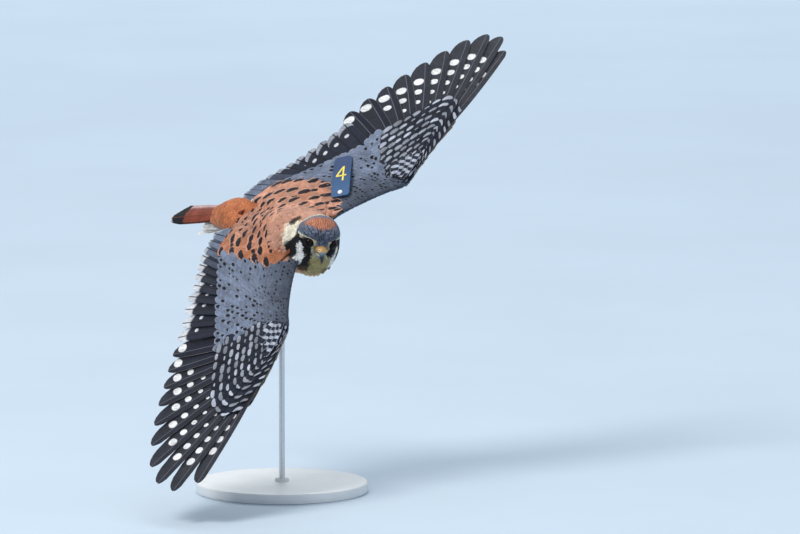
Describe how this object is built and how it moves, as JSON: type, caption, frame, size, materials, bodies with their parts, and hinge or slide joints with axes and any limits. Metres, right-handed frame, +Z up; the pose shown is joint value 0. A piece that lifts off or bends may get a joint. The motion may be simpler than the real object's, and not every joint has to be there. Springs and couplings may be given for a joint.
{
  "type": "male american kestrel in banking flight on a display stand",
  "caption": "Life-size small falcon banking in flight, wings spread, tail nearly closed, a tag on one wing, held by a plain round stand and rod.",
  "frame": {"origin": "centre of the underside of the stand's base, on the floor", "axes": "+Z up; the bird flies towards +X and -Y, its left wing raised, as seen from -Y"},
  "size_m": [0.307, 0.324, 0.3874],
  "materials": {
    "head_feathers": "soft slate-blue feathers with a rufous crown, white cheeks and black stripes",
    "back_feathers": "rufous feathers with short black bars, buff below",
    "belly_feathers": "soft pale buff feathers",
    "wing_feathers": "blue-grey coverts with black spots, blackish flight feathers with white spots",
    "tail_feathers": "rufous feathers with a black band and pale tips",
    "bill": "smooth blue-grey horn, black at the tip",
    "eye": "wet dark brown",
    "foot_skin": "yellow scaled skin",
    "claw": "polished black horn",
    "tag": "blue woven vinyl",
    "rivet": "white nylon",
    "stand_steel": "satin steel"
  },
  "bodies": {
    "root": {"head": "head_feathers", "bill_upper": "bill", "bill_lower": "bill", "eye_left": "eye", "eye_right": "eye", "neck": "back_feathers", "torso": "back_feathers", "tail": "tail_feathers", "wing_left_arm": "wing_feathers", "wing_left_hand": "wing_feathers", "thigh_left": "belly_feathers", "foot_left": "foot_skin", "claw_left_1": "claw", "claw_left_2": "claw", "claw_left_3": "claw", "claw_left_4": "claw", "wing_right_arm": "wing_feathers", "wing_right_hand": "wing_feathers", "thigh_right": "belly_feathers", "foot_right": "foot_skin", "claw_right_1": "claw", "claw_right_2": "claw", "claw_right_3": "claw", "claw_right_4": "claw", "wing_tag": "tag", "wing_tag_rivet": "rivet", "stand_base": "stand_steel", "stand_rod": "stand_steel"}
  },
  "joints": []
}
